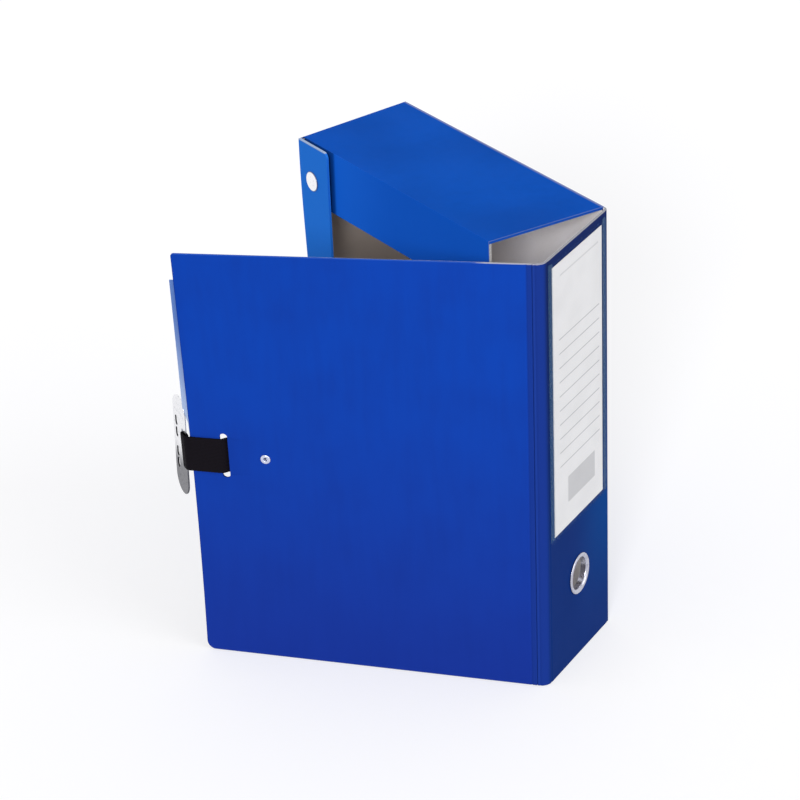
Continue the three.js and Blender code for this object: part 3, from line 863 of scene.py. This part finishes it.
def sheet_loop(z, shrink, along, out, rounding, creases=(), columns=10, steps=3):
    """The section of a sheet with round edges at a height, and creases pressed into its face."""
    a0, a1 = along[0] + shrink, along[1] - shrink
    o0, o1 = out[0] + shrink, out[1] - shrink
    radius = max(rounding - shrink, 0.2 * rounding)
    radius = min(radius, (o1 - o0) / 2 * 0.98)
    points = []
    for ca, co, first in (
        (a1 - radius, o1 - radius, 90),
        (a1 - radius, o0 + radius, 0),
        (a0 + radius, o0 + radius, -90),
        (a0 + radius, o1 - radius, -180),
    ):
        for k in range(steps + 1):
            angle = math.radians(first - 90 * k / steps)
            points.append((ca + radius * math.cos(angle), co + radius * math.sin(angle)))
        if first in (0, -180):
            last = points[-1]
            goal = a0 + radius if first == 0 else a1 - radius
            stops = [last[0] + (goal - last[0]) * k / columns for k in range(1, columns)]
            if first == -180:
                stops += [at + crease_step * k for at in creases for k in range(-4, 5)]
                stops.sort()
            for stop in stops:
                into = sum(math.exp(-((stop - at) / crease_reach) ** 2) for at in creases)
                points.append((stop, last[1] - crease_depth * into * (first == -180)))
    return [on_cover(a, o, z) for a, o in points]


cover_creases = (5.2,)
sheet_steps, sheet_columns = 3, 10
sheet_sides = [0] * (2 * sheet_steps + 1) + [1] * sheet_columns
sheet_sides += [0] * (2 * sheet_steps + 1 + sheet_columns)
cover_sides = sheet_sides + [0] * 9 * len(cover_creases)
corner_levels = [foot_corner * (1 - math.cos(math.radians(9 * k))) for k in range(1, 11)]
corner_levels += [
    box_height - top_corner * (1 - math.cos(math.radians(15 * k))) for k in range(1, 7)
]
cover_loops = []
for z, shrink in edge_levels(0, box_height, cover_rounding, 7, corner_levels):
    edge = cover_width - corner_inset(z, foot_corner) - corner_inset(box_height - z, top_corner)
    faces_at = (-half_board, half_board)
    cover_loops.append(
        sheet_loop(z, shrink, (cover_start, edge), faces_at, cover_rounding, cover_creases)
    )
cover_mesh = lofted("cover", cover_loops, cover_sides)

cover_high = (0.006, 0.06, 0.455)
cover_low = (0.011, 0.036, 0.31)
cover_edge_shade = (0.002, 0.02, 0.16)
cover_rim = (0.08, 0.2, 0.6)
cover_low_z, cover_high_z = -60, 300
cover_paper, cover_shade = covering(
    "cover_covering", cover_high, cover_low,
    lambda finish: 1 - finish.place.parts()[2].over(cover_low_z, cover_high_z),
)
cover_pz = cover_paper.place.parts()[2]
from_crease = from_upright(cover_paper.place, near_crease)
cover_fray = cover_paper.place.noise(3, 3)
rim = cover_pz.over(box_height - 0.6, box_height - 0.1)
bare_rim = rim * (1 - (from_crease + cover_fray * 6).over(36, 48)) * 0.85
# Painted shade: the cover darkens along its rounded fore-edge.
wear_and_shade = (1 - (cover_width - from_crease + cover_fray * 1.2).over(0.9, 1.6)) * 0.35
cover_shade = wear_and_shade.colours(cover_shade, cover_edge_shade)
# Painted shade in a band on the cover beside the crease.
by_crease = (1 - from_crease.over(4.2, 6.2)) * 0.8
cover_shade = by_crease.colours(cover_shade, fold_blue)
# Painted light in the groove by the crease, lifting its shade.
cover_shade = (1 - from_crease.over(1.15, 1.4)).colours(cover_shade, groove_blue)
cover_shade = (rim * 0.3).colours(cover_shade, cover_rim)
cover_paper.feed(Base_Color=bare_rim.colours(cover_shade, cut_pale))
cover_lining = lining("cover_lining")
cover_finishes = (cover_paper, cover_lining)
cover = piece("cover", cover_mesh, cover_finishes, "cover", "cover_board", "front_cover")


def cover_slot(name, along, width, height, z):
    """A closed slug with round ends, to punch a slot through the cover."""
    outline = []
    radius = width / 2
    for first, cz in ((0, z + height / 2 - radius), (180, z - height / 2 + radius)):
        for k in range(13):
            angle = math.radians(first + 15 * k)
            outline.append((along + radius * math.cos(angle), cz + radius * math.sin(angle)))
    loops = [[on_cover(a, out, b) for a, b in outline] for out in (-3, 3)]
    return lofted(name, loops, [0] * len(outline))


punched(cover, [
    cover_slot("strap_slot", slot_along, slot_width, slot_height, middle_z),
    cover_slot("rivet_hole", rivet_along, rivet_hole, rivet_hole + nearly_round, middle_z),
])


# Edge strip. A narrow strip of thin board in paler blue, glued behind the cover's fore-edge:
# tucked in at its foot, and a little proud above the plate.
strip_back = -2.3
strip_width = 15
strip_thickness = 1
strip_proud = ((24, -2), (200, 1.2), (214, 4.5), (326, 3.5))
edge_pale, edge_blue = (0.5, 0.62, 0.85), (0.14, 0.25, 0.6)
edge_pale_z, edge_blue_z = 195, 300


def proud_at(z):
    """How far the strip stands past the cover's edge at a height."""
    for (low, start), (high, end) in zip(strip_proud, strip_proud[1:]):
        if z <= high:
            return start + (end - start) * (z - low) / (high - low)
    return strip_proud[-1][1]


strip_loops = []
strip_bends = [height for height, proud in strip_proud[1:-1]]
for z, shrink in edge_levels(strip_proud[0][0], strip_proud[-1][0], 0.25, 10, strip_bends):
    along = (cover_width - strip_width, cover_width + proud_at(z))
    faces_at = (strip_back, strip_back + strip_thickness)
    strip_loops.append(sheet_loop(z, shrink, along, faces_at, 0.25))
strip_mesh = lofted("edge_strip", strip_loops, [0] * len(sheet_sides))
strip_paper, strip_shade = covering(
    "edge_strip_paper", edge_pale, edge_blue,
    lambda finish: finish.place.parts()[2].over(edge_pale_z, edge_blue_z),
)
strip_paper.feed(Base_Color=strip_shade)
piece("edge_strip", strip_mesh, (strip_paper,), "cover", "edge_strip", "cover_edge_strip")


# Strap. Black woven tape 30 mm wide: riveted inside the cover, out through the slot, over the
# cover's face and round the bar of the metal plate.
strap_width = 30
strap_thickness = 1.3
strap_run = half_board + 0.3 + strap_thickness / 2
plate_angle = math.radians(-54.5)
plate_from_edge = 4
plate_set_back = 0.6
plate_start = Vector((cover_width + plate_from_edge, -plate_set_back))
plate_bar = 4
bar_slot = 5
plate_thickness = 1.2
loop_out = plate_thickness / 2 + 0.3 + strap_thickness / 2


def beside_plate(along, out):
    """A place beside the plate, which is turned back behind the cover."""
    return (
        plate_start.x + along * math.cos(plate_angle) - out * math.sin(plate_angle),
        plate_start.y + along * math.sin(plate_angle) + out * math.cos(plate_angle),
    )


over_plate = beside_plate(0, loop_out)
to_bend = (strap_run - over_plate[1]) / math.tan(-plate_angle)
loop_at = plate_bar + bar_slot / 2
past_rivet = 9
strap_tail = 0.5
strap_line = [
    (rivet_along - past_rivet, -strap_run),
    (slot_along - strap_run, -strap_run),
    (slot_along + strap_run, strap_run),
    (over_plate[0] - to_bend, strap_run),
    beside_plate(loop_at, loop_out),
    beside_plate(loop_at, -loop_out),
    beside_plate(-strap_tail, -loop_out),
]


def bent(points, radius, steps=5):
    """An open line with its corners rounded, and points every few millimetres between them."""
    result = [Vector(points[0])]
    for i in range(1, len(points) - 1):
        here = Vector(points[i])
        back = Vector(points[i - 1]) - here
        on = Vector(points[i + 1]) - here
        reach = min(radius, back.length * 0.45, on.length * 0.45)
        start, end = here + back.normalized() * reach, here + on.normalized() * reach
        gap = (start - result[-1]).length
        for k in range(1, int(gap // 4)):
            result.append(result[-1].lerp(start, 1 / (int(gap // 4) - k + 1)))
        for k in range(steps + 1):
            t = k / steps
            result.append(start * (1 - t) ** 2 + here * 2 * t * (1 - t) + end * t ** 2)
    result.append(Vector(points[-1]))
    return result


strap_points = bent(strap_line, 1.6)
strap_edge = 0.5
strap_loops = []
for i, point in enumerate(strap_points):
    before = strap_points[max(0, i - 1)]
    after = strap_points[min(len(strap_points) - 1, i + 1)]
    heading = (after - before).normalized()
    out = Vector((-heading.y, heading.x))
    loop = []
    for z_sign, o_sign, first in ((1, 1, 90), (1, -1, 0), (-1, -1, -90), (-1, 1, -180)):
        centre_z = middle_z + z_sign * (strap_width / 2 - strap_edge)
        centre_o = o_sign * (strap_thickness / 2 - strap_edge)
        for k in range(4):
            angle = math.radians(first - 30 * k)
            z = centre_z + strap_edge * math.cos(angle)
            o = centre_o + strap_edge * math.sin(angle)
            at = point + out * o
            loop.append(on_cover(at.x, at.y, z))
    strap_loops.append(loop)
strap_mesh = lofted("strap", strap_loops, [0] * len(strap_loops[0]))

tape = Finish("black_tape", Roughness=0.85, Specular_IOR_Level=0.12)
tape_x, tape_y, tape_z = tape.place.parts()
tape_x, tape_y = tape_x - near_crease.x, tape_y - near_crease.y
tape_u = tape_x * math.cos(cover_angle) + tape_y * math.sin(cover_angle)
rib_pitch = 1.25
pick_pitch = 0.9
tape_dark, tape_light = (0.0012, 0.0006, 0.0018), (0.007, 0.0045, 0.009)
ribs = (tape_z * (2 * math.pi / rib_pitch)).math("SINE")
picks = (tape_u * (2 * math.pi / pick_pitch) + ribs * 1.4).math("SINE")
weave = ribs * 0.35 + picks * 0.25 + 0.5
fuzz = tape.place.noise(0.5, 3)
tape.feed(Base_Color=(weave * 0.7 + fuzz * 0.3).over(0.15, 0.95).colours(tape_dark, tape_light))
tape.relief(weave * 0.75 + fuzz * 0.25, 0.25, 0.8)
strap = piece("strap", strap_mesh, (tape,), "cover", "webbing", "strap")
strap_hole = 4.8
punched(strap, [
    cover_slot("strap_hole", rivet_along, strap_hole, strap_hole + nearly_round, middle_z),
])


# Plate. Pressed and plated steel, 82 by 27 mm with round ends: the strap loops through the
# long slot by its edge, and two pairs of short slots lie beyond it.
plate_height = 82
plate_width = 27
plate_corner = 13
bar_slot_height = 33
small_slot_along = 20
small_slot_width, small_slot_height = 4.6, 8
small_slot_step = 4.9
pair_step = 13
plate_edge = 0.3


def plate_outline(along, up, width, height, radius, clockwise=False):
    points = []
    for sa, sz, first in ((1, 1, 0), (-1, 1, 90), (-1, -1, 180), (1, -1, 270)):
        for k in range(9):
            angle = math.radians(first + 90 * k / 8)
            points.append((
                along + sa * (width / 2 - radius) + radius * math.cos(angle),
                up + sz * (height / 2 - radius) + radius * math.sin(angle),
                0,
            ))
    return points[::-1] if clockwise else points


pressed = bpy.data.curves.new("plate_outline", "CURVE")
pressed.dimensions = "2D"
pressed.fill_mode = "BOTH"
pressed.extrude = (plate_thickness / 2 - plate_edge) * 0.001
pressed.bevel_depth = plate_edge * 0.001
pressed.bevel_resolution = 2
pressed.offset = -plate_edge * 0.001
shapes = [plate_outline(plate_width / 2, 0, plate_width, plate_height, plate_corner)]
shapes.append(plate_outline(plate_bar + bar_slot / 2, 0, bar_slot, bar_slot_height, 2.4, True))
for pair in (-pair_step, pair_step):
    for step in (-small_slot_step, small_slot_step):
        shapes.append(plate_outline(
            small_slot_along, pair + step, small_slot_width, small_slot_height, 2.2, True,
        ))
for shape in shapes:
    spline = pressed.splines.new("POLY")
    spline.points.add(len(shape) - 1)
    spline.use_cyclic_u = True
    for point, (a, b, c) in zip(spline.points, shape):
        point.co = (a * 0.001, b * 0.001, c * 0.001, 1)
flat_plate = bpy.data.objects.new("plate_outline", pressed)
scene.collection.objects.link(flat_plate)
made_shapes = bpy.context.evaluated_depsgraph_get()
plate_mesh = bpy.data.meshes.new_from_object(flat_plate.evaluated_get(made_shapes))
bpy.data.objects.remove(flat_plate)
plate_turn = cover_angle + math.radians(cover_twist) * (middle_z / box_height) ** twist_power
for vertex in plate_mesh.vertices:
    along, out = beside_plate(vertex.co.x * 1000, vertex.co.z * 1000)
    vertex.co = Vector((
        near_crease.x + along * math.cos(plate_turn) - out * math.sin(plate_turn),
        near_crease.y + along * math.sin(plate_turn) + out * math.cos(plate_turn),
        middle_z + vertex.co.y * 1000,
    )) * 0.001
weld = bmesh.new()
weld.from_mesh(plate_mesh)
bmesh.ops.remove_doubles(weld, verts=weld.verts, dist=1e-6)
bmesh.ops.recalc_face_normals(weld, faces=weld.faces)
plate_facing = Vector((-math.sin(plate_turn + plate_angle), math.cos(plate_turn + plate_angle), 0))
for face in weld.faces:
    face.smooth = abs(face.normal.dot(plate_facing)) < 0.999
weld.to_mesh(plate_mesh)
weld.free()
plate_mesh.materials.clear()
# Painted dark reflection over the lower part of the plate.
plate_dark_z, plate_bright_z = 156, 176
# A near-black finish for the walls of the small slots: painted shade.
slot_wall_shade = plated("plate_slot_walls", (0.03, 0.03, 0.035), (0.02, 0.02, 0.02), 0.5)
plate_nickel = plated(
    "plate_nickel", (0.86, 0.86, 0.88), (0.62, 0.63, 0.66), 0.2, (0.1, 0.1, 0.115),
    lambda place: 1 - place.parts()[2].over(plate_dark_z, plate_bright_z),
)
# The walls of the small slots get the near-black finish, as painted shade
plate_line = Vector((math.cos(plate_turn + plate_angle), math.sin(plate_turn + plate_angle)))
for face in plate_mesh.polygons:
    centre = face.center * 1000
    beside = (centre - near_crease).to_2d() - Matrix.Rotation(plate_turn, 2) @ plate_start
    along = beside.dot(plate_line)
    in_slot = abs(along - small_slot_along) < 2.5 and abs(centre.z - middle_z) < 30
    face.material_index = 1 if in_slot and abs(face.normal.dot(plate_facing)) < 0.9 else 0
plate_finishes = (plate_nickel, slot_wall_shade)
piece("strap_plate_pressed", plate_mesh, plate_finishes, "cover", "nickel", "strap_plate")


# Rivet. A small tubular rivet, its head on the cover's face; inside, its lip is rolled over
# a washer on the strap's end.
rivet_profile = (
    (1.3, -3.9), (3.0, -3.9), (3.0, -3.4), (2.2, -3.4), (2.2, 1.3), (3.9, 1.3), (3.9, 1.7),
    (3.4, 2.15), (2.6, 2.3), (1.7, 2.1), (1.3, 1.5),
)
rivet_washer_profile = ((2.5, -3.4), (4.9, -3.4), (5.0, -3.2), (5.0, -2.9), (2.5, -2.9))
rivet_nickel = plated("rivet_nickel", (0.62, 0.65, 0.8), (0.42, 0.45, 0.62), 0.18)
for part, profile in (("strap_rivet", rivet_profile), ("strap_rivet_washer", rivet_washer_profile)):
    mesh = turned(
        part, profile,
        lambda a, b, out: on_cover(rivet_along + a, out, middle_z + b), rounding=0.3, steps=56,
    )
    piece(f"{part}_plated", mesh, (rivet_nickel,), "cover", "nickel", part)
